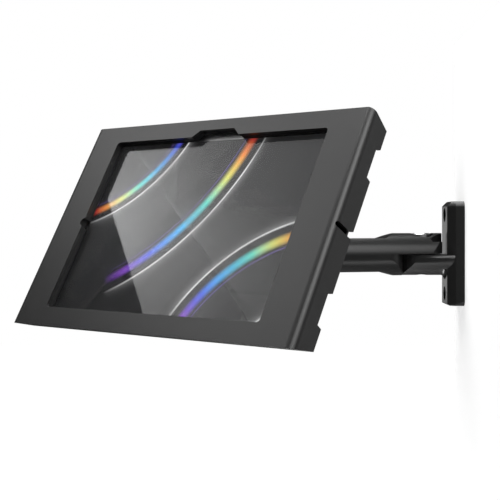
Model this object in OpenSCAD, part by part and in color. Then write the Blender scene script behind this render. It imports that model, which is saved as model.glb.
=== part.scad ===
// Wall mount for a tablet: a wall plate, a swinging arm, a tilting head and a locked enclosure.
// Millimetres. The wall is the plane Y = 0, the mount reaches out along -Y and +Z is up.
// Each piece is drawn in the pose of the photograph, and the three angles below set that pose.

/* [Pose] */
// Angle of the arm from the wall's normal, towards +X
arm_swing = 17; // [-60:1:60]
// Angle of the head from the arm's direction, towards +X
head_pan = 33; // [-60:1:60]
// Angle of the screen, leaning back from upright
head_tilt = 30; // [-10:1:55]

/* [Wall plate] */
// Height of the plate
plate_height = 90.9; // [70:0.1:120]
// How far the plate sits above the arm's middle
plate_rise = 0.65; // [0:0.05:2]
// Thickness of the plate
plate_thickness = 14.2; // [10:0.1:20]
// Width of the plate at the wall
plate_width = 39.6; // [37:0.1:60]
// Width of the plate where its side facets meet
plate_mid_width = 37.6; // [34:0.1:58]
// Width of the plate's front face
plate_front_width = 26.4; // [20:0.1:34]
// Height from the wall to the line where the facets meet
plate_mid_depth = 7.5; // [3:0.1:9]
// Height of the bevel along the plate's top
plate_top_bevel = 4.2; // [0.5:0.1:6]
// Depth of the bevel along the plate's top
plate_top_bevel_depth = 4.2; // [0.5:0.1:8]
// Height of the bevel along the plate's bottom
plate_bottom_bevel = 1.2; // [0.5:0.1:6]
// Depth of the bevel along the plate's bottom
plate_bottom_bevel_depth = 2.5; // [0.5:0.1:8]
// Radius of the plate's corners
plate_corner_radius = 5; // [2:0.5:9]
// Distance between the two wall screw holes
wall_screw_spacing = 69; // [55:1:90]
// Diameter of a wall screw hole
wall_screw_hole = 6; // [4:0.5:8]
// Diameter of the recess for a wall screw's head
wall_screw_recess = 12.2; // [9:0.1:16]
// Depth of the recess for a wall screw's head
wall_screw_recess_depth = 8; // [3:0.5:9]
// Radius of the hollow corner between the plate and its knuckle
plate_fillet_radius = 4; // [1:0.5:6]
// Distance from the plate's front to the wall pivot
pivot_reach = 20.9; // [20:0.1:40]

/* [Swing arm] */
// Radius of the round barrel that makes the arm and the knuckles
barrel_radius = 18.5; // [14:0.5:24]
// How much larger the knuckles' round ends are than the barrel, on the radius
knuckle_growth = 0.2; // [0.1:0.1:1]
// How much smaller the arm's round shoulders are than the barrel, on the radius
shoulder_step = 0.5; // [0.1:0.1:2]
// Distance between the two pivots of the arm
arm_length = 154; // [120:1:260]
// Height of the flat on top of the arm's slim part, above its middle
arm_flat_height = 14; // [9:0.5:17]
// Depth of the flat under the arm's slim part, below its middle
arm_flat_depth = 14.8; // [9:0.1:17]
// Distance from a pivot to the end of the full barrel
arm_ramp_start = 27; // [25:0.5:40]
// Length of the ramp down to the slim part
arm_ramp_length = 12; // [6:0.5:20]
// Gap between the arm's shoulder and the knuckle it turns about
shoulder_gap = 0.5; // [0.3:0.1:2]
// Gap between the two halves of a lap, filled by the washer
lap_gap = 0.8; // [0.4:0.1:2]
// Radius of the round pocket over each pivot bolt
pocket_radius = 10.8; // [9:0.1:13]
// Height of the pocket's floor over the lap
pocket_floor = 8.5; // [6:0.5:11]
// Height of the ledge cut at each side of the arm's nose
nose_ledge = 10.8; // [8.5:0.1:14]
// Angle of the nose's two faces from the arm
nose_angle = 30; // [15:1:45]
// Distance of the nose's faces from the pivot
nose_distance = 12.3; // [11.5:0.1:16]

/* [Pivot bolts] */
// Diameter of the pivot bolts
pivot_bolt = 10; // [6:0.5:12]
// Diameter of a pivot bolt's head
pivot_head = 16; // [13:0.5:20]
// Height of a pivot bolt's head
pivot_head_height = 10; // [5:0.5:11]
// Diameter of the pivot bolts' threaded end
pivot_thread = 5; // [3:0.5:6]
// Size across the corners of the key socket in a bolt head
key_socket = 9; // [4:0.5:10]
// Depth of the key socket
key_socket_depth = 5; // [2:0.5:6]
// Diameter of the lap washers
lap_washer = 25; // [18:0.5:32]
// Height of the pivot nuts
pivot_nut_height = 5; // [4:0.5:6]
// Size of the pivot nuts across their corners
pivot_nut = 8.8; // [7:0.1:12]
// Play between a turning piece and its bolt, on the radius
running_fit = 0.05; // [0.02:0.01:0.1]

/* [Tilting head] */
// Gap between the arm's round end and the yoke's back
yoke_gap = 1.8; // [0.5:0.1:20]
// Gap between the yoke's back and the bracket's barrel
tilt_gap = 2; // [1:0.1:6]
// Thickness of the yoke's round back
yoke_back = 7.5; // [5:0.5:10]
// Thickness of each of the yoke's ears
yoke_ear = 6; // [4:0.5:7]
// Radius of the yoke's ears and the bracket's barrel
tilt_radius = 10; // [8:0.5:11.5]
// Thickness of the two tilt washers
tilt_washer = 0.8; // [0.5:0.1:1.5]
// Diameter of the tilt bolt
tilt_bolt_size = 8; // [5:0.5:10]
// Diameter of the tilt bolt's head
tilt_head = 13; // [10:0.5:16]
// Height of the tilt bolt's head
tilt_head_height = 5; // [3:0.5:8]
// Width and height of the plate that carries the enclosure
bracket_size = 92; // [85:1:110]
// Thickness of that plate
bracket_thickness = 4; // [3:0.5:6]
// Distance between the bracket's bolts
bracket_bolt_spacing = 75; // [70:5:90]
// Diameter of the bracket's bolts
bracket_bolt = 5; // [3:0.5:6]
// Distance from the tilt axis to the enclosure's back
bracket_reach = 35.3; // [30:0.1:50]

/* [Enclosure] */
// Width of the face beside the window
face_side = 35; // [30:0.5:60]
// Height of the face above the window
face_over = 16.1; // [14:0.1:40]
// Height of the face below the window
face_under = 16.8; // [14:0.1:40]
// Depth of the side flanges
flange_depth = 23; // [22:0.5:40]
// How far the top slopes in over the depth
top_slope = 6.6; // [0:0.1:8]
// How far the bottom slopes in over the depth
bottom_slope = 8; // [0:0.1:12]
// Thickness of the bezel's sheet
bezel_sheet = 2.5; // [1.5:0.1:3]
// Outer radius of the bends at the two sides
bend_radius = 6; // [4:0.5:12]
// Depth from the face to the outside of the back panel
casing_depth = 21.5; // [21:0.5:26]
// Thickness of the casing's sheet
casing_sheet = 2; // [1:0.1:3]
// Depth of the casing's folded rim
casing_rim = 7; // [4:0.1:7.4]
// Gap between the casing and the bezel
casing_gap = 0.3; // [0.1:0.1:1]

/* [Window and slots] */
// How far the window's edge covers the screen at each side
window_cover_across = 0.5; // [0:0.1:4]
// How far the window's edge covers the screen above and below
window_cover_up = 0.3; // [0:0.1:4]
// Radius of the window's corners
window_radius = 3; // [0.5:0.5:8]
// Width of the camera notch at the window's edge
notch_width = 51; // [20:0.5:70]
// Width of the camera notch at its top
notch_top_width = 36.6; // [15:0.1:60]
// Height of the camera notch
notch_height = 6.2; // [2:0.1:8]
// Radius of the small round notch at the window's left edge
button_notch_radius = 3.6; // [2:0.1:6]
// Length of the openings in the flange for the speakers, at their inner edge
speaker_length = 23; // [10:0.5:40]
// How far the upper end of a speaker opening slants out
speaker_upper_slant = 3.6; // [0:0.1:6]
// How far the lower end of a speaker opening slants out
speaker_lower_slant = 1.2; // [0:0.1:6]
// Depth of the openings for the speakers
speaker_depth = 6; // [2:0.1:6]
// Height of the upper speaker opening's middle
speaker_upper = 58.5; // [40:0.5:70]
// Depth below the middle of the lower speaker opening's middle
speaker_lower = 59.5; // [40:0.5:66]
// Width of the cable slot
cable_slot = 4.2; // [3:0.1:10]
// Length of the cable slot, to the middle of its round end
cable_slot_length = 18.6; // [8:0.1:22]
// Widening of the cable slot's upper side at its mouth
cable_slot_flare = 2.4; // [0:0.1:4]
// Height of the room for the cable in the casing's sides
cable_room = 36; // [20:1:60]
// Height of the cable slot's middle
cable_slot_height = 0.2; // [-10:0.1:10]

/* [Tablet] */
// Width of the tablet
tablet_width = 248; // [200:0.5:290]
// Height of the tablet
tablet_height = 178.5; // [140:0.5:220]
// Thickness of the tablet with its glass
tablet_thickness = 7; // [5:0.1:8.5]
// Radius of the tablet's corners
tablet_radius = 11; // [4:0.5:16]
// Thickness of the tablet's glass
glass_thickness = 0.8; // [0.5:0.1:1.2]
// Border of the tablet at each side of the screen
screen_border_across = 9.5; // [6:0.25:16]
// Border of the tablet above and below the screen
screen_border_up = 8.75; // [6:0.25:16]
// Thickness of the screen panel
screen_thickness = 0.4; // [0.2:0.1:0.8]
// Depth of the glass behind the enclosure's face
glass_depth = 7; // [5:0.1:8]
// How far the gasket stands back from the window's edge
gasket_setback = 0.6; // [0:0.1:2]
// Width and height of each cushion behind the tablet
cushion_size = 34; // [15:1:50]
// Distance of a cushion's middle from the tablet's nearest side
cushion_inset_across = 36; // [22:0.5:50]
// Distance of a cushion's middle from the tablet's top or bottom
cushion_inset_up = 31.25; // [22:0.25:40]
// Gap between the tablet's side and a corner post
post_gap = 8; // [2:0.5:9]
// Distance of a corner post's middle from the level of the tablet's top or bottom
post_inset = 19.25; // [10:0.25:40]
// Diameter of the corner posts
post_size = 8; // [6:0.5:9]
// Diameter of the casing's screws
casing_screw = 4; // [3:0.5:5]

/* [Hidden] */
$fn = 48;
lap = lap_gap/2;
knuckle_end_radius = barrel_radius + knuckle_growth;
shoulder_radius = barrel_radius - shoulder_step;
tilt_reach = knuckle_end_radius + yoke_gap + yoke_back + tilt_gap + tilt_radius;
pivot_y = -(plate_thickness + pivot_reach);
shoulder = knuckle_end_radius + shoulder_radius + shoulder_gap;
nut_seat = pocket_floor + 3;
ear_inner = barrel_radius - yoke_ear;
lug_half = ear_inner - tilt_washer;
face_y = -(bracket_reach + casing_depth);
screen_width = tablet_width - 2*screen_border_across;
screen_height = tablet_height - 2*screen_border_up;
window_width = screen_width - 2*window_cover_across;
window_height = screen_height - 2*window_cover_up;
half_width = window_width/2 + face_side;
face_top = window_height/2 + face_over;
face_bottom = window_height/2 + face_under;
cushion_across = tablet_width/2 - cushion_inset_across;
cushion_up = tablet_height/2 - cushion_inset_up;
post_across = tablet_width/2 + post_gap + post_size/2;
post_up = tablet_height/2 - post_inset;
big = 600;

// Places in the chain of joints

module in_arm() { translate([0, pivot_y, 0]) rotate([0, 0, arm_swing]) children(); }
module in_head() { in_arm() translate([0, -arm_length, 0]) rotate([0, 0, head_pan]) children(); }
module in_tilt() { in_head() translate([0, -tilt_reach, 0]) rotate([-head_tilt, 0, 0]) children(); }
// Enclosure's own place: X right, Y into the depth from the face, Z up from the window's middle
module in_face() { in_tilt() translate([0, face_y, 0]) children(); }

// Small helpers

// Cylinder along Y from y0 to y1
module along_y(r, y0, y1) { translate([0, y1, 0]) rotate([90, 0, 0]) cylinder(r = r, h = y1 - y0); }
// Cylinder along X from x0 to x1
module along_x(r, x0, x1) { translate([x0, 0, 0]) rotate([0, 90, 0]) cylinder(r = r, h = x1 - x0); }
// Slab given by its corners
module slab(a, b) { translate(a) cube([b[0] - a[0], b[1] - a[1], b[2] - a[2]]); }
// Outline in X and Z, raised along Y from y0 to y1
module raise_y(y0, y1) { translate([0, y1, 0]) rotate([90, 0, 0]) linear_extrude(y1 - y0) children(); }
// Outline in Y and Z, raised along X both ways
module raise_x(half) { translate([-half, 0, 0]) rotate([90, 0, 90]) linear_extrude(half*2) children(); }
// Rounded rectangle about the middle
module rounded(w, h, r) {
    square([w - 2*r, h], center = true);
    square([w, h - 2*r], center = true);
    for (x = [-1, 1], z = [-1, 1]) translate([x*(w/2 - r), z*(h/2 - r)]) circle(r = r);
}
module at_corners(x, z) { for (i = [-1, 1], k = [-1, 1]) translate([i*x, 0, k*z]) children(); }
// Plan of a rounded knuckle that starts at the pivot and runs to the distance given, along -Y
module knuckle_plan(length, z0, z1) {
    translate([0, 0, z0]) cylinder(r = knuckle_end_radius, h = z1 - z0, $fn = 96);
    slab([-knuckle_end_radius, -length, z0], [knuckle_end_radius, 0, z1]);
}
// Lower half of a lap, from its rounded end to the distance given along -Y
module lower_knuckle(length) {
    difference() {
        intersection() {
            along_y(barrel_radius, -length, knuckle_end_radius + 1, $fn = 96);
            knuckle_plan(length, -barrel_radius - 1, -lap);
        }
        translate([0, 0, -pocket_floor]) cylinder(r = pivot_bolt/2 + running_fit, h = pocket_floor + 2);
        translate([0, 0, -barrel_radius - 1])
            cylinder(r = pivot_thread/2 + running_fit, h = barrel_radius + 2);
        translate([0, 0, -barrel_radius - 1])
            cylinder(r = pivot_nut/2 + 0.3, h = barrel_radius + 1 - nut_seat);
    }
}

// Wall side

module plate_blank() {
    intersection() {
        linear_extrude(big, center = true) polygon([
            [-plate_width/2, 0], [-plate_mid_width/2, -plate_mid_depth],
            [-plate_front_width/2, -plate_thickness], [plate_front_width/2, -plate_thickness],
            [plate_mid_width/2, -plate_mid_depth], [plate_width/2, 0]]);
        translate([0, 0, plate_rise]) raise_x(plate_width) polygon([
            [0, plate_height/2], [plate_top_bevel_depth - plate_thickness, plate_height/2],
            [-plate_thickness, plate_height/2 - plate_top_bevel],
            [-plate_thickness, -plate_height/2 + plate_bottom_bevel],
            [plate_bottom_bevel_depth - plate_thickness, -plate_height/2], [0, -plate_height/2]]);
        translate([0, 0, plate_rise]) raise_y(-plate_thickness - 1, 1)
            rounded(plate_width, plate_height, plate_corner_radius);
    }
}
// Hollow corner under the knuckle, turned about the barrel's axis
module plate_fillet() {
    r = plate_fillet_radius;
    intersection() {
        translate([0, -plate_thickness, 0]) rotate([90, 180, 0]) rotate_extrude(angle = 180, $fn = 96)
            difference() {
                translate([barrel_radius - 1, 0]) square([r + 1, r]);
                translate([barrel_radius + r, r]) circle(r = r);
            }
        slab([-plate_front_width/2, -plate_thickness - r - 1, -barrel_radius - r - 1],
             [plate_front_width/2, -plate_thickness + 1, -lap]);
    }
}
module wall_plate() color([0.13, 0.13, 0.14]) {
    difference() {
        union() {
            plate_blank();
            plate_fillet();
            translate([0, pivot_y, 0]) rotate([0, 0, 180]) lower_knuckle(pivot_reach + plate_mid_depth);
        }
        for (k = [-1, 1]) translate([0, 0, k*wall_screw_spacing/2]) {
            along_y(wall_screw_hole/2, -plate_thickness - 1, 1);
            along_y(wall_screw_recess/2, -plate_thickness - 1, -plate_thickness + wall_screw_recess_depth);
        }
    }
}

// Pivot hardware, the same at both ends of the arm

module pivot_bolt_shape() color([0.75, 0.76, 0.78]) {
    difference() {
        union() {
            translate([0, 0, -pocket_floor]) cylinder(r = pivot_bolt/2, h = 2*pocket_floor);
            translate([0, 0, -nut_seat - pivot_nut_height])
                cylinder(r = pivot_thread/2, h = pivot_nut_height + 4);
            translate([0, 0, pocket_floor]) cylinder(r = pivot_head/2, h = pivot_head_height - 1);
            translate([0, 0, pocket_floor + pivot_head_height - 1])
                cylinder(r1 = pivot_head/2, r2 = pivot_head/2 - 1, h = 1);
        }
        translate([0, 0, pocket_floor + pivot_head_height - key_socket_depth])
            cylinder(r = key_socket/2, h = key_socket_depth + 1, $fn = 6);
    }
}
module pivot_nut_shape() color([0.7, 0.71, 0.73]) {
    translate([0, 0, -nut_seat - pivot_nut_height]) difference() {
        union() {
            cylinder(r = pivot_nut/2, h = pivot_nut_height - 1, $fn = 6);
            translate([0, 0, pivot_nut_height - 1]) cylinder(r = pivot_nut/2, h = 1);
        }
        translate([0, 0, -1]) cylinder(r = pivot_thread/2 + running_fit, h = pivot_nut_height + 2);
    }
}
module lap_washer_shape() color([0.05, 0.05, 0.05]) {
    translate([0, 0, -lap]) difference() {
        cylinder(r = lap_washer/2, h = lap_gap);
        translate([0, 0, -1]) cylinder(r = pivot_bolt/2 + running_fit, h = lap_gap + 2);
    }
}
module wall_pivot_bolt() in_arm() pivot_bolt_shape();
module wall_pivot_nut() in_arm() pivot_nut_shape();
module wall_pivot_washer() in_arm() lap_washer_shape();
module head_pivot_bolt() in_head() pivot_bolt_shape();
module head_pivot_nut() in_head() pivot_nut_shape();
module head_pivot_washer() in_head() lap_washer_shape();

// Arm: one round barrel, lapped at both ends and flattened between them

module arm_end_cuts() {
    translate([0, 0, -1]) cylinder(r = pivot_bolt/2 + running_fit, h = barrel_radius + 2);
    translate([0, 0, pocket_floor]) cylinder(r = pocket_radius, h = barrel_radius);
    for (i = [-1, 1]) mirror([i < 0 ? 1 : 0, 0, 0]) rotate([0, 0, nose_angle])
        slab([nose_distance, -knuckle_end_radius*0.2, nose_ledge],
             [barrel_radius*2, barrel_radius*2, barrel_radius + 1]);
}
module arm_side_cut(side, flat) {
    a = arm_ramp_start;
    b = arm_ramp_start + arm_ramp_length;
    raise_x(barrel_radius + 2) polygon([
        [-a, side*barrel_radius], [-b, side*flat], [-(arm_length - b), side*flat],
        [-(arm_length - a), side*barrel_radius], [-(arm_length - a), side*(barrel_radius + 2)],
        [-a, side*(barrel_radius + 2)]]);
}
module swing_arm() color([0.14, 0.14, 0.15]) in_arm() {
    difference() {
        intersection() {
            along_y(barrel_radius, -arm_length - knuckle_end_radius - 1, knuckle_end_radius + 1, $fn = 96);
            union() {
                knuckle_plan(arm_length/2 + 1, lap, barrel_radius + 1);
                translate([0, -arm_length, 0]) mirror([0, 1, 0])
                    knuckle_plan(arm_length/2, lap, barrel_radius + 1);
                slab([-barrel_radius - 1, shoulder - arm_length, -barrel_radius - 1],
                     [barrel_radius + 1, -shoulder, lap]);
                for (y = [-shoulder, shoulder - arm_length]) translate([0, y, -barrel_radius - 1])
                    cylinder(r = shoulder_radius, h = barrel_radius + 1 + lap, $fn = 96);
            }
        }
        arm_end_cuts();
        translate([0, -arm_length, 0]) mirror([0, 1, 0]) arm_end_cuts();
        arm_side_cut(1, arm_flat_height);
        arm_side_cut(-1, arm_flat_depth);
    }
}

// Head: a yoke that turns on the arm, with ears for the tilt bolt

module head_yoke() color([0.14, 0.14, 0.15]) in_head() {
    back = tilt_reach - tilt_radius - tilt_gap;
    difference() {
        union() {
            lower_knuckle(back);
            along_y(barrel_radius, -back, -back + yoke_back);
            intersection() {
                along_y(barrel_radius, -tilt_reach - tilt_radius - 1, -back + 1);
                for (i = [-1, 1]) union() {
                    slab([i > 0 ? ear_inner : -barrel_radius, -tilt_reach, -tilt_radius],
                         [i > 0 ? barrel_radius : -ear_inner, -back + 1, tilt_radius]);
                    translate([0, -tilt_reach, 0]) along_x(tilt_radius,
                        i > 0 ? ear_inner : -barrel_radius, i > 0 ? barrel_radius : -ear_inner);
                }
            }
        }
        translate([0, -tilt_reach, 0])
            along_x(tilt_bolt_size/2 + running_fit, -barrel_radius - 1, barrel_radius + 1);
        for (i = [-1, 1]) translate([0, -tilt_reach, 0])
            along_x(tilt_head/2 + 0.5, i > 0 ? barrel_radius - 3 : -barrel_radius - 1,
                    i > 0 ? barrel_radius + 1 : -barrel_radius + 3);
    }
}
module tilt_bolt() color([0.6, 0.61, 0.63]) in_head() translate([0, -tilt_reach, 0]) {
    difference() {
        union() {
            along_x(tilt_bolt_size/2, -barrel_radius - 3, barrel_radius - 3);
            along_x(tilt_head/2, barrel_radius - 3, barrel_radius - 3 + tilt_head_height);
        }
        translate([barrel_radius - 6 + tilt_head_height, 0, 0]) rotate([0, 90, 0])
            cylinder(r = 3.4, h = 5, $fn = 6);
    }
}
module tilt_nut() color([0.6, 0.61, 0.63]) in_head() translate([-barrel_radius + 3, -tilt_reach, 0])
    rotate([0, -90, 0]) difference() {
        cylinder(r = tilt_head/2, h = 5.5, $fn = 6);
        translate([0, 0, -1]) cylinder(r = tilt_bolt_size/2 + running_fit, h = 8);
    }
module tilt_washers() color([0.05, 0.05, 0.05]) in_head() translate([0, -tilt_reach, 0])
    for (i = [-1, 1]) difference() {
        along_x(tilt_radius - 0.5, i > 0 ? lug_half : -ear_inner, i > 0 ? ear_inner : -lug_half);
        along_x(tilt_bolt_size/2 + running_fit, -barrel_radius, barrel_radius);
    }

// Bracket between the tilt bolt and the enclosure

module tilt_bracket() color([0.14, 0.14, 0.15]) in_tilt() {
    difference() {
        union() {
            along_x(tilt_radius, -lug_half, lug_half);
            slab([-lug_half, -bracket_reach + 1, -tilt_radius], [lug_half, 0, tilt_radius]);
            raise_y(-bracket_reach, -bracket_reach + bracket_thickness)
                rounded(bracket_size, bracket_size, 8);
        }
        along_x(tilt_bolt_size/2 + running_fit, -barrel_radius, barrel_radius);
        at_corners(bracket_bolt_spacing/2, bracket_bolt_spacing/2)
            along_y(bracket_bolt/2 + 0.1, -bracket_reach - 1, -bracket_reach + bracket_thickness + 1);
    }
}
module bracket_bolts() color([0.55, 0.56, 0.58]) in_tilt()
    at_corners(bracket_bolt_spacing/2, bracket_bolt_spacing/2) difference() {
        union() {
            along_y(bracket_bolt/2, -bracket_reach - casing_sheet - 4, -bracket_reach + bracket_thickness);
            along_y(bracket_bolt*0.9, -bracket_reach + bracket_thickness,
                    -bracket_reach + bracket_thickness + 2.6);
        }
        translate([0, -bracket_reach + bracket_thickness + 3, 0]) rotate([90, 0, 0])
            cylinder(r = bracket_bolt*0.34, h = 2, $fn = 6);
    }
module bracket_nuts() color([0.55, 0.56, 0.58]) in_tilt()
    at_corners(bracket_bolt_spacing/2, bracket_bolt_spacing/2)
    translate([0, -bracket_reach - casing_sheet, 0]) rotate([90, 0, 0]) difference() {
        cylinder(r = bracket_bolt*0.9, h = 3.5, $fn = 6);
        translate([0, 0, -1]) cylinder(r = bracket_bolt/2 + running_fit, h = 6);
    }

// Enclosure

// Outer shape of the bezel, or the shape inside its sheet when t is the sheet's thickness
module bezel_block(t) {
    r = bend_radius - t;
    rear = flange_depth + (t > 0 ? 5 : 0);
    intersection() {
        translate([0, 0, -face_bottom - 5]) linear_extrude(face_top + face_bottom + 10) {
            translate([-half_width + t, bend_radius]) square([2*half_width - 2*t, flange_depth]);
            translate([-half_width + bend_radius, t]) square([2*half_width - 2*bend_radius, flange_depth]);
            for (i = [-1, 1]) translate([i*(half_width - bend_radius), bend_radius]) circle(r = r, $fn = 96);
        }
        raise_x(half_width + 1) polygon([
            [t, face_top - t], [rear, face_top - t - top_slope*rear/flange_depth],
            [rear, -face_bottom + t + bottom_slope*rear/flange_depth], [t, -face_bottom + t]]);
    }
}
module window_outline(grow = 0) {
    rounded(window_width + 2*grow, window_height + 2*grow, window_radius + grow);
    polygon([
        [-notch_width/2 - grow*0.4, window_height/2 - 1], [-notch_width/2 - grow*0.4, window_height/2 + grow],
        [-notch_top_width/2 - grow*0.4, window_height/2 + notch_height + grow],
        [notch_top_width/2 + grow*0.4, window_height/2 + notch_height + grow],
        [notch_width/2 + grow*0.4, window_height/2 + grow], [notch_width/2 + grow*0.4, window_height/2 - 1]]);
    translate([-window_width/2, 0]) circle(r = button_notch_radius + grow);
}
// Opening for a speaker in the rear edge of a flange, with slanted ends
module speaker_cut(z) {
    front = flange_depth - speaker_depth;
    raise_x(half_width + 1) polygon([
        [front, z - speaker_length/2], [front, z + speaker_length/2],
        [flange_depth + 1, z + speaker_length/2 + speaker_upper_slant],
        [flange_depth + 1, z - speaker_length/2 - speaker_lower_slant]]);
}
module front_bezel() color([0.2, 0.2, 0.21]) in_face() {
    difference() {
        bezel_block(0);
        bezel_block(bezel_sheet);
        raise_y(-1, bezel_sheet + 1) window_outline();
        speaker_cut(speaker_upper);
        speaker_cut(-speaker_lower);
        translate([0, flange_depth - cable_slot_length, cable_slot_height])
            along_x(cable_slot/2, -half_width - 1, half_width + 1);
        raise_x(half_width + 1) translate([0, cable_slot_height]) polygon([
            [flange_depth - cable_slot_length, -cable_slot/2], [flange_depth - cable_slot_length, cable_slot/2],
            [flange_depth - speaker_depth + 2, cable_slot/2], [flange_depth + 1, cable_slot/2 + cable_slot_flare],
            [flange_depth + 1, -cable_slot/2]]);
    }
}
module window_gasket() color([0.04, 0.04, 0.04]) in_face()
    raise_y(bezel_sheet, glass_depth) difference() {
        rounded(tablet_width, tablet_height, tablet_radius);
        window_outline(gasket_setback);
    }
module rear_casing() color([0.12, 0.12, 0.13]) in_face() {
    w = half_width - bezel_sheet - casing_gap;
    top = face_top - top_slope*casing_depth/flange_depth - bezel_sheet - casing_gap;
    low = face_bottom - bottom_slope*casing_depth/flange_depth - bezel_sheet - casing_gap;
    front = casing_depth - casing_rim;
    difference() {
        slab([-w, front, -low], [w, casing_depth, top]);
        slab([-w + casing_sheet, front - 1, -low + casing_sheet],
             [w - casing_sheet, casing_depth - casing_sheet, top - casing_sheet]);
        // Room for the cable at both sides
        slab([-w - 1, front - 1, cable_slot_height - cable_room/2],
             [w + 1, casing_depth - casing_sheet, cable_slot_height + cable_room/2]);
        at_corners(bracket_bolt_spacing/2, bracket_bolt_spacing/2)
            along_y(bracket_bolt/2 + 0.1, casing_depth - casing_sheet - 1, casing_depth + 1);
        at_corners(post_across, post_up)
            along_y(casing_screw/2 + 0.1, casing_depth - casing_sheet - 1, casing_depth + 1);
    }
}
module corner_posts() color([0.5, 0.5, 0.52]) in_face() at_corners(post_across, post_up) difference() {
    along_y(post_size/2, bezel_sheet, casing_depth - casing_sheet);
    along_y(casing_screw/2 + running_fit, casing_depth - casing_sheet - 9, casing_depth);
}
module casing_screws() color([0.55, 0.56, 0.58]) in_face() at_corners(post_across, post_up) difference() {
    union() {
        along_y(casing_screw/2, casing_depth - casing_sheet - 8, casing_depth);
        along_y(casing_screw*0.9, casing_depth, casing_depth + 2.2);
    }
    translate([0, casing_depth + 3, 0]) rotate([90, 0, 0]) cylinder(r = casing_screw*0.36, h = 2.2, $fn = 6);
}

// Tablet

module tablet_shell() color([0.55, 0.56, 0.58]) in_face() difference() {
    raise_y(glass_depth + glass_thickness, glass_depth + tablet_thickness)
        rounded(tablet_width, tablet_height, tablet_radius);
    raise_y(glass_depth, glass_depth + glass_thickness + screen_thickness)
        rounded(screen_width, screen_height, 2);
}
module tablet_glass() color([0.02, 0.02, 0.02, 0.4]) in_face()
    raise_y(glass_depth, glass_depth + glass_thickness)
        rounded(tablet_width - 1, tablet_height - 1, tablet_radius - 0.5);
module tablet_screen() color([0.35, 0.4, 0.5]) in_face()
    raise_y(glass_depth + glass_thickness, glass_depth + glass_thickness + screen_thickness)
        rounded(screen_width, screen_height, 2);
module rear_cushions() color([0.1, 0.1, 0.1]) in_face() at_corners(cushion_across, cushion_up)
    raise_y(glass_depth + tablet_thickness, casing_depth - casing_sheet) rounded(cushion_size, cushion_size, 3);

wall_plate();
wall_pivot_bolt();
wall_pivot_nut();
wall_pivot_washer();
swing_arm();
head_pivot_washer();
head_pivot_bolt();
head_pivot_nut();
head_yoke();
tilt_bolt();
tilt_nut();
tilt_washers();
tilt_bracket();
bracket_bolts();
bracket_nuts();
rear_casing();
casing_screws();
corner_posts();
front_bezel();
window_gasket();
tablet_shell();
tablet_glass();
tablet_screen();
rear_cushions();
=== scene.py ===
import math

import bpy
from mathutils import Matrix, Vector

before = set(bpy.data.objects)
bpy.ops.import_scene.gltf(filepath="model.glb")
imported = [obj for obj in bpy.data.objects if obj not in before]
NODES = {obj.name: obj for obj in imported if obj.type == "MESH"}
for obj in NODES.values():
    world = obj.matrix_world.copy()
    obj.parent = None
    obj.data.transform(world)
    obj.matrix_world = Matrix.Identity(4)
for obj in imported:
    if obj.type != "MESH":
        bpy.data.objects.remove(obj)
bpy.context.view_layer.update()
scene = bpy.context.scene

MM = 1000.0  # millimetres in a metre
WHITE = (1.0, 1.0, 1.0, 1.0)

# places
# the enclosure: its tilt pivot, its turn from a plain front view, its face and the glass in it
PIVOT = Vector((0.075667, -0.208082, 0.0))
TURN = Matrix.Rotation(math.radians(50), 3, "Z") @ Matrix.Rotation(math.radians(-30), 3, "X")
FACE = PIVOT + TURN @ Vector((0, -0.0568, 0))
FACE_RIGHT = TURN @ Vector((1, 0, 0))
FACE_UP = TURN @ Vector((0, 0, 1))
FACE_OUT = TURN @ Vector((0, -1, 0))
GLASS = FACE + TURN @ Vector((0, 0.007, 0))

# the photograph's camera: place, turn from straight along -X, focal length and horizon in pixels
EYE = Vector((0.96317, -0.17873, 0.02571))
YAW = 0.0075
FOCAL = 1089.41
HORIZON = 224.87
PHOTO_SIZE = 500
PHOTO_MIDDLE = PHOTO_SIZE / 2


# node helpers
class Nodes:
    """A node tree, emptied, with short ways to add nodes."""

    def __init__(self, tree):
        self.tree = tree
        tree.nodes.clear()

    def node(self, kind, inputs=(), **settings):
        """Add a node; each input is a value, or a socket to link from."""
        n = self.tree.nodes.new(kind)
        for key, value in settings.items():
            setattr(n, key, value)
        for key, value in dict(inputs).items():
            if isinstance(value, bpy.types.NodeSocket):
                self.tree.links.new(value, n.inputs[key])
            else:
                n.inputs[key].default_value = value
        return n

    def math(self, operation, a, b=0.0, c=0.0, clamp=False):
        n = self.node("ShaderNodeMath", {0: a, 1: b, 2: c}, operation=operation)
        n.use_clamp = clamp
        return n.outputs[0]

    def squared(self, value):
        return self.math("MULTIPLY", value, value)

    def vector(self, operation, a, b=(0, 0, 0)):
        return self.node("ShaderNodeVectorMath", {0: a, 1: b}, operation=operation).outputs[0]

    def scaled(self, vector, factor):
        n = self.node("ShaderNodeVectorMath", {0: vector, "Scale": factor}, operation="SCALE")
        return n.outputs[0]

    def dot(self, a, b):
        n = self.node("ShaderNodeVectorMath", {0: a, 1: tuple(b)}, operation="DOT_PRODUCT")
        return n.outputs["Value"]

    def length(self, vector):
        n = self.node("ShaderNodeVectorMath", {0: vector}, operation="LENGTH")
        return n.outputs["Value"]


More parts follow.
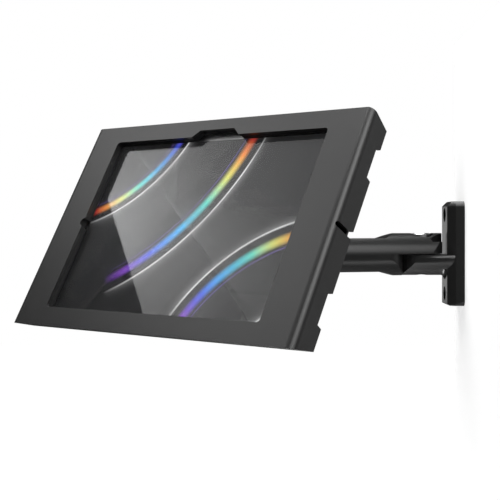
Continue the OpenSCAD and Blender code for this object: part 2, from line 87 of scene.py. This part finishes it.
class Paint(Nodes):
    """A new material's node tree."""

    def __init__(self, name):
        self.mat = bpy.data.materials.new(name)
        self.mat.use_nodes = True
        super().__init__(self.mat.node_tree)
        self.out = self.node("ShaderNodeOutputMaterial")

    def here(self):
        return self.node("ShaderNodeTexCoord").outputs["Object"]

    def noise(self, scale, detail, rough):
        n = self.node("ShaderNodeTexNoise", {"Vector": self.here(), "Scale": scale,
                                             "Detail": detail, "Roughness": rough})
        return n.outputs["Fac"]

    def ramp(self, fac, stops):
        n = self.node("ShaderNodeValToRGB", {"Fac": fac})
        while len(n.color_ramp.elements) < len(stops):
            n.color_ramp.elements.new(0.5)
        for element, (at, colour) in zip(n.color_ramp.elements, stops):
            element.position = at
            element.color = (*colour, 1.0)
        return n.outputs["Color"]

    def mottled(self, fac, dark, light):
        """Two tones that meet softly in the middle range of a noise."""
        return self.ramp(fac, [(0.3, dark), (0.7, light)])

    def bump(self, height, strength, distance):
        n = self.node("ShaderNodeBump", {"Height": height, "Strength": strength,
                                         "Distance": distance})
        return n.outputs["Normal"]

    def principled(self, **values):
        """Add the main shader; an underscore stands for a space in the name of an input."""
        named = {key.replace("_", " "): value for key, value in values.items()}
        return self.node("ShaderNodeBsdfPrincipled", named).outputs[0]

    def finish(self, shader):
        self.tree.links.new(shader, self.out.inputs["Surface"])
        return self.mat


def grey(level):
    return (level, level, level)


# materials
def coat(name, dark, light, rough, grain, speck):
    """A fine satin powder coat: a little mottling and a fine orange-peel grain."""
    p = Paint(name)
    mottle = p.noise(38.0, 4.0, 0.6)
    fine = p.noise(1900.0, 2.0, 0.5)
    tone = p.math("ADD", p.math("MULTIPLY", mottle, 0.6), p.math("MULTIPLY", fine, 0.4))
    return p.finish(p.principled(
        Base_Color=p.mottled(tone, grey(dark), grey(light)),
        Roughness=p.math("MULTIPLY_ADD", fine, speck, rough - speck / 2),
        Normal=p.bump(fine, grain, 0.00012), IOR=1.5))


def steel(name, tone, rough, ring):
    """Turned or plated steel with faint fine marks."""
    p = Paint(name)
    marks = p.noise(ring, 3.0, 0.6)
    return p.finish(p.principled(
        Base_Color=p.mottled(marks, grey(tone * 0.86), grey(tone)),
        Roughness=p.math("MULTIPLY_ADD", marks, 0.12, rough - 0.06),
        Metallic=1.0, Normal=p.bump(marks, 0.06, 0.0001)))


def rubber(name, tone, rough):
    """Dull rubber, foam or plastic."""
    p = Paint(name)
    fine = p.noise(1400.0, 3.0, 0.6)
    return p.finish(p.principled(
        Base_Color=p.mottled(fine, grey(tone * 0.75), grey(tone * 1.2)),
        Roughness=rough, Normal=p.bump(fine, 0.12, 0.0001)))


def glass_cover(name):
    """Clear glass with a coating that halves its reflection, hence the low index."""
    p = Paint(name)
    smear = p.noise(60.0, 2.0, 0.5)
    return p.finish(p.principled(
        Base_Color=p.mottled(smear, (0.97, 0.98, 0.98), grey(1.0)),
        Roughness=p.math("MULTIPLY_ADD", smear, 0.02, 0.01),
        Transmission_Weight=1.0, IOR=1.33))


# the lit picture: half its width and height, and its strength
LIT_ACROSS, LIT_UP = 114.2, 80.3
LIT_STRENGTH = 0.8
SPLIT_LIGHT = [(0.0, (0.0, 0.0, 0.0)), (0.06, (0.45, 0.03, 0.02)), (0.14, (0.95, 0.30, 0.03)),
               (0.26, (0.85, 0.85, 0.15)), (0.40, (0.10, 0.80, 0.65)),
               (0.56, (0.02, 0.50, 0.95)), (0.74, (0.04, 0.10, 0.80)),
               (0.88, (0.22, 0.05, 0.55)), (1.0, (0.0, 0.0, 0.0))]
VIOLET = (0.16, 0.10, 0.42)
# each arc, in millimetres and radians: middle across and up, radius, half width,
# and the angles where its light starts and ends
ARCS = ((-150, 120, 112, 5.0, -1.30, -0.10), (-150, 120, 190, 6.0, -0.16, -1.12),
        (150, -130, 128, 6.0, 1.72, 2.85), (150, -130, 62, 4.0, 3.0, 1.7))
GLOW_WIDTH = 15.0


def screen_art(name):
    """A generic picture of coloured light: wide arcs with white glows on dark grey."""
    p = Paint(name)
    offset = p.vector("SUBTRACT", p.here(), tuple(FACE))
    x = p.math("MULTIPLY", p.dot(offset, FACE_RIGHT), MM)
    z = p.math("MULTIPLY", p.dot(offset, FACE_UP), MM)
    parts = []

    def line(distance, at, width):
        """1 at the middle of a soft line, smoothly down to 0 at its edges."""
        off = p.math("DIVIDE", p.math("SUBTRACT", distance, at), width)
        return p.squared(p.math("SUBTRACT", 1.0, p.squared(off), clamp=True))

    def add(strength, colour, shown):
        parts.append(p.scaled(p.ramp(strength, [(0.0, grey(0.0)), (1.0, colour)]), shown))

    for across, up, radius, width, start, end in ARCS:
        dx, dz = p.math("SUBTRACT", x, across), p.math("SUBTRACT", z, up)
        distance = p.math("SQRT", p.math("ADD", p.squared(dx), p.squared(dz)))
        turn = p.math("ARCTAN2", dz, dx)
        along = p.math("DIVIDE", p.math("SUBTRACT", turn, start), end - start, clamp=True)
        band = p.math("MULTIPLY", line(distance, radius, width), 1.1)
        parts.append(p.scaled(p.ramp(along, SPLIT_LIGHT), band))
        # a thin violet fringe inside, a white line outside with a glow that fades outwards
        ends = p.math("MULTIPLY", along, p.math("SUBTRACT", 1.0, along))
        shown = p.math("MULTIPLY", ends, 6.0, clamp=True)
        rim = radius + width * 2.0
        add(line(distance, radius - width * 1.25, 0.8), VIOLET, shown)
        add(line(distance, rim, 1.3), grey(0.80), shown)
        glow = p.math("DIVIDE", p.math("SUBTRACT", distance, rim), GLOW_WIDTH)
        fall = p.squared(p.squared(p.math("SUBTRACT", 1.0, glow, clamp=True)))
        outside = p.math("MULTIPLY", p.math("GREATER_THAN", glow, 0.0), fall)
        add(outside, grey(0.30), shown)
    total = p.mottled(p.noise(9.0, 3.0, 0.5), grey(0.010), grey(0.018))
    for part in parts:
        total = p.vector("ADD", total, part)
    inside = p.math("MULTIPLY", p.math("LESS_THAN", p.math("ABSOLUTE", x), LIT_ACROSS),
                    p.math("LESS_THAN", p.math("ABSOLUTE", z), LIT_UP))
    return p.finish(p.principled(
        Base_Color=(0.01, 0.01, 0.012, 1), Roughness=0.3, Emission_Color=p.scaled(total, inside),
        Emission_Strength=LIT_STRENGTH, Specular_IOR_Level=0.1))


# each material, and the pieces that wear it
LOOKS = (
    (coat("black_coat", 0.007, 0.011, 0.30, 0.20, 0.06),
     ("wall_plate", "swing_arm", "head_yoke", "tilt_bracket")),
    (coat("charcoal_coat", 0.009, 0.013, 0.34, 0.15, 0.06), ("rear_casing", "front_bezel")),
    (steel("bright_steel", 0.85, 0.30, 260.0),
     ("wall_pivot_bolt", "wall_pivot_nut", "head_pivot_bolt", "head_pivot_nut")),
    (steel("plated_steel", 0.58, 0.30, 420.0),
     ("tilt_bolt", "tilt_nut", "bracket_bolts", "bracket_nuts", "casing_screws",
      "corner_posts")),
    (rubber("bearing_plastic", 0.035, 0.45),
     ("wall_pivot_washer", "head_pivot_washer", "tilt_washers")),
    (rubber("gasket_rubber", 0.012, 0.75), ("window_gasket", "rear_cushions")),
    (steel("tablet_metal", 0.45, 0.35, 900.0), ("tablet_shell",)),
    (glass_cover("tablet_glass"), ("tablet_glass",)),
    (screen_art("screen_panel"), ("tablet_screen",)),
)
for look, names in LOOKS:
    for name in names:
        slots = NODES[name].data.materials
        if not slots:
            slots.append(look)
        for i in range(len(slots)):
            slots[i] = look

# the wall plate's corners
# the rounding of its corners follows its sloping sides all the way to the front
PLATE_MIDDLE_Z, PLATE_HALF_HEIGHT = 0.00065, 0.04545
PLATE_SIDE = ((-0.0152, 0.0124), (-0.0075, 0.0188), (0.001, 0.0199))  # y and half width
TOP_RADIUS, BOTTOM_RADIUS = 0.0050, 0.0022
CORNER_STEPS = 6
BEYOND = 0.003  # how far a cutter reaches outside the plate
plate = NODES["wall_plate"]


def corner_cutter(side, end, radius):
    """What a rounded corner leaves out, as a closed shape along the plate's side."""
    high = PLATE_HALF_HEIGHT
    verts = []
    for y, x in PLATE_SIDE:
        turns = [math.pi / 2 * k / CORNER_STEPS for k in range(CORNER_STEPS + 1)]
        ring = [(x - radius * (1 - math.cos(t)), high - radius * (1 - math.sin(t)))
                for t in turns]
        ring += [(x - radius, high + BEYOND), (x + BEYOND, high + BEYOND),
                 (x + BEYOND, high - radius)]
        verts += [(side * a, y, PLATE_MIDDLE_Z + end * b) for a, b in ring]
    n = len(verts) // len(PLATE_SIDE)
    faces = [(s + k, s + (k + 1) % n, s + (k + 1) % n + n, s + k + n)
             for s in range(0, len(verts) - n, n) for k in range(n)]
    faces += [tuple(range(n)), tuple(range(len(verts) - n, len(verts)))[::-1]]
    if side * end < 0:
        faces = [face[::-1] for face in faces]
    mesh = bpy.data.meshes.new("plate_corner")
    mesh.from_pydata(verts, [], faces)
    cutter = bpy.data.objects.new("plate_corner", mesh)
    scene.collection.objects.link(cutter)
    cutter.hide_render = True
    return cutter


for side in (1, -1):
    for end, radius in ((-1, BOTTOM_RADIUS), (1, TOP_RADIUS)):
        cut = plate.modifiers.new("corner", "BOOLEAN")
        cut.operation = "DIFFERENCE"
        cut.solver = "EXACT"
        cut.object = corner_cutter(side, end, radius)
# its sharp edges are bevelled, as far as its smallest faces leave room, and stay sharp in shading
soft = plate.modifiers.new("edge", "BEVEL")
soft.width = 0.0005
soft.segments = 2
soft.limit_method = "ANGLE"
soft.angle_limit = math.radians(32)
split = plate.modifiers.new("smooth", "EDGE_SPLIT")
split.split_angle = math.radians(35)


# floor and wall
def plane(name, middle, right, up, half_x, half_y, mat):
    mesh = bpy.data.meshes.new(name)
    corners = [middle + right * sx * half_x + up * sy * half_y
               for sx, sy in ((-1, -1), (1, -1), (1, 1), (-1, 1))]
    mesh.from_pydata([tuple(c) for c in corners], [], [(0, 1, 2, 3)])
    mesh.materials.append(mat)
    o = bpy.data.objects.new(name, mesh)
    scene.collection.objects.link(o)
    return o


def backdrop(name, lift, one_sided):
    """Pale matte surface, lifted by a glow where the camera sees it, also through glass."""
    p = Paint(name)
    ray = p.node("ShaderNodeLightPath").outputs
    seen = p.math("MAXIMUM", ray["Is Camera Ray"], ray["Is Transmission Ray"])
    seen = p.math("MAXIMUM", p.math("MULTIPLY", seen, lift),
                  p.math("MULTIPLY", ray["Is Glossy Ray"], 0.2))
    matte = p.node("ShaderNodeBsdfDiffuse", {"Color": (*grey(0.8), 1.0)}).outputs[0]
    glow = p.node("ShaderNodeEmission", {"Color": WHITE, "Strength": seen}).outputs[0]
    both = p.node("ShaderNodeAddShader", {0: matte, 1: glow}).outputs[0]
    if one_sided:
        back = p.node("ShaderNodeNewGeometry").outputs["Backfacing"]
        clear = p.node("ShaderNodeBsdfTransparent").outputs[0]
        both = p.node("ShaderNodeMixShader", {0: back, 1: both, 2: clear}).outputs[0]
    return p.finish(both)


X, Y, Z = Vector((1, 0, 0)), Vector((0, 1, 0)), Vector((0, 0, 1))
floor = plane("floor", Vector((0, -0.6, -0.75)), X, Y, 6.0, 6.0,
              backdrop("floor_paint", 0.95, False))
floor.visible_glossy = False
# only a patch of wall behind the plate, which lets through the lights behind its plane
wall = plane("wall", Vector((0.27, 0.0002, -0.08)), X, Z, 0.30, 0.27,
             backdrop("wall_paint", 0.45, True))
wall.visible_glossy = False
wall.visible_shadow = False

# a dark card far behind the object keeps its end faces dark, as in the photograph
card_paint = Paint("card_paint")
dark = card_paint.node("ShaderNodeBsdfDiffuse", {"Color": (*grey(0.005), 1.0)}).outputs[0]
card = plane("dark_card", Vector((-1.2, -0.7, 0.1)), Y, Z, 0.68, 0.8, card_paint.finish(dark))
card.visible_camera = False
card.visible_diffuse = False
card.visible_transmission = False
card.visible_shadow = False

# world
world = bpy.data.worlds.new("studio")
scene.world = world
world.use_nodes = True
sky = Nodes(world.node_tree)
dim = sky.node("ShaderNodeBackground", {"Color": WHITE, "Strength": 0.08}).outputs[0]
white = sky.node("ShaderNodeBackground", {"Color": WHITE}).outputs[0]
to_camera = sky.node("ShaderNodeLightPath").outputs["Is Camera Ray"]
shown = sky.node("ShaderNodeMixShader", {0: to_camera, 1: dim, 2: white}).outputs[0]
sky.node("ShaderNodeOutputWorld", {"Surface": shown})


# lights
def softbox(name, middle, aim, half_x, half_y, power, right):
    """Soft rectangular light that the camera doesn't see."""
    data = bpy.data.lights.new(name, "AREA")
    data.shape = "RECTANGLE"
    data.size = half_x * 2
    data.size_y = half_y * 2
    data.energy = power
    o = bpy.data.objects.new(name, data)
    scene.collection.objects.link(o)
    back = (middle - aim).normalized()
    side = (right - back * right.dot(back)).normalized()
    turn = Matrix((side, back.cross(side), back)).transposed().to_4x4()
    o.matrix_world = Matrix.Translation(middle) @ turn
    o.visible_camera = False
    return o


def mirrored(px, py):
    """Where the photograph's line of sight through a pixel meets the glass, and goes on."""
    ahead = Vector((-math.cos(YAW), -math.sin(YAW), 0))
    right = Vector((-math.sin(YAW), math.cos(YAW), 0))
    ray = (ahead * FOCAL + right * (px - PHOTO_MIDDLE) + Z * (HORIZON - py)).normalized()
    hit = EYE + ray * ((GLASS - EYE).dot(FACE_OUT) / ray.dot(FACE_OUT))
    return hit, ray - 2 * ray.dot(FACE_OUT) * FACE_OUT


# The key light shows in the glass. Two pixels of the photograph on the edge of its reflection
# and one inside it give its plane and its edge, and a fourth the place of the lamp in it.
KEY_INSIDE_PIXEL = (215, 230)
KEY_EDGE_TOP_PIXEL, KEY_EDGE_LOW_PIXEL = (112, 212), (143, 313)
KEY_LAMP_PIXEL = (118, 232)
KEY_AWAY = 1.6
KEY_HALF_WIDE, KEY_HALF_LONG = 0.9, 2.0
KEY_POWER = 128
KEY_FALL = 0.28  # metres from the lamp over which its strength falls to 0.37
KEY_FLOOR = 0.08  # strength that is left far from the lamp
hit, normal = mirrored(*KEY_INSIDE_PIXEL)
plane_at = hit + normal * KEY_AWAY


def on_key_plane(px, py):
    hit, way = mirrored(px, py)
    return hit + way * ((plane_at - hit).dot(normal) / way.dot(normal))


edge_top = on_key_plane(*KEY_EDGE_TOP_PIXEL)
edge = (on_key_plane(*KEY_EDGE_LOW_PIXEL) - edge_top).normalized()
across = (plane_at - edge_top).dot(edge)
inward = ((plane_at - edge_top) - edge * across).normalized()
key_middle = edge_top + edge * across + inward * KEY_HALF_WIDE
key = softbox("key", key_middle, key_middle - normal, KEY_HALF_WIDE, KEY_HALF_LONG, KEY_POWER,
              inward)
lamp = key.matrix_world.inverted() @ on_key_plane(*KEY_LAMP_PIXEL)
key_size = (2 * KEY_HALF_WIDE, 2 * KEY_HALF_LONG, 0)
key.data.use_nodes = True
k = Nodes(key.data.node_tree)
at = k.vector("SUBTRACT", k.node("ShaderNodeNewGeometry").outputs["Parametric"],
              (0.5 + lamp.x / key_size[0], 0.5 + lamp.y / key_size[1], 0))
away = k.length(k.vector("MULTIPLY", at, key_size))
fall = k.math("EXPONENT", k.math("MULTIPLY", away, -1 / KEY_FALL))
strength = k.math("MULTIPLY_ADD", fall, 1 - KEY_FLOOR, KEY_FLOOR)
emission = k.node("ShaderNodeEmission", {"Color": WHITE, "Strength": strength}).outputs[0]
k.node("ShaderNodeOutputLight", {"Surface": emission})

# the others stand around the middle of the mount:
# direction, distance, half width and half height, watts, direction of the width
MIDDLE = Vector((0.05, -0.12, 0))
for name, way, away, half_x, half_y, power, right in (
        ("front", (0.69, 0.49, 0.54), 1.3, 0.42, 0.44, 4.8, Y),
        ("sweep", (0.71, 0.22, 0.66), 1.3, 0.42, 0.36, 7.0, Y),
        ("under", (0.0, -0.03, -1.0), 0.7, 0.08, 0.50, 5.0, Y),
        ("low", (0.535, 0.47, -0.70), 0.8, 0.35, 0.06, 0.7, Y),
        ("wall_side", (-0.17, 0.985, 0.1), 1.0, 0.6, 0.6, 1.5, X),
        ("top", (-0.10, -0.08, 1.0), 1.2, 0.50, 0.50, 20.0, Y)):
    softbox(name, MIDDLE + Vector(way).normalized() * away, MIDDLE, half_x, half_y, power, right)
softbox("far_strip", Vector((-1.15, -0.3, -0.03)), Vector((0, -0.1, 0)), 0.22, 0.10, 0.25, Y)

# camera
lens = bpy.data.cameras.new("camera")
camera = bpy.data.objects.new("camera", lens)
scene.collection.objects.link(camera)
camera.location = EYE
camera.rotation_euler = (math.pi / 2, 0, math.pi / 2 + YAW)
lens.sensor_width = 36
lens.lens = FOCAL / PHOTO_SIZE * lens.sensor_width
lens.shift_y = (HORIZON - PHOTO_MIDDLE) / PHOTO_SIZE
lens.clip_start = 0.05
lens.clip_end = 50
scene.camera = camera
scene.view_settings.view_transform = "Standard"
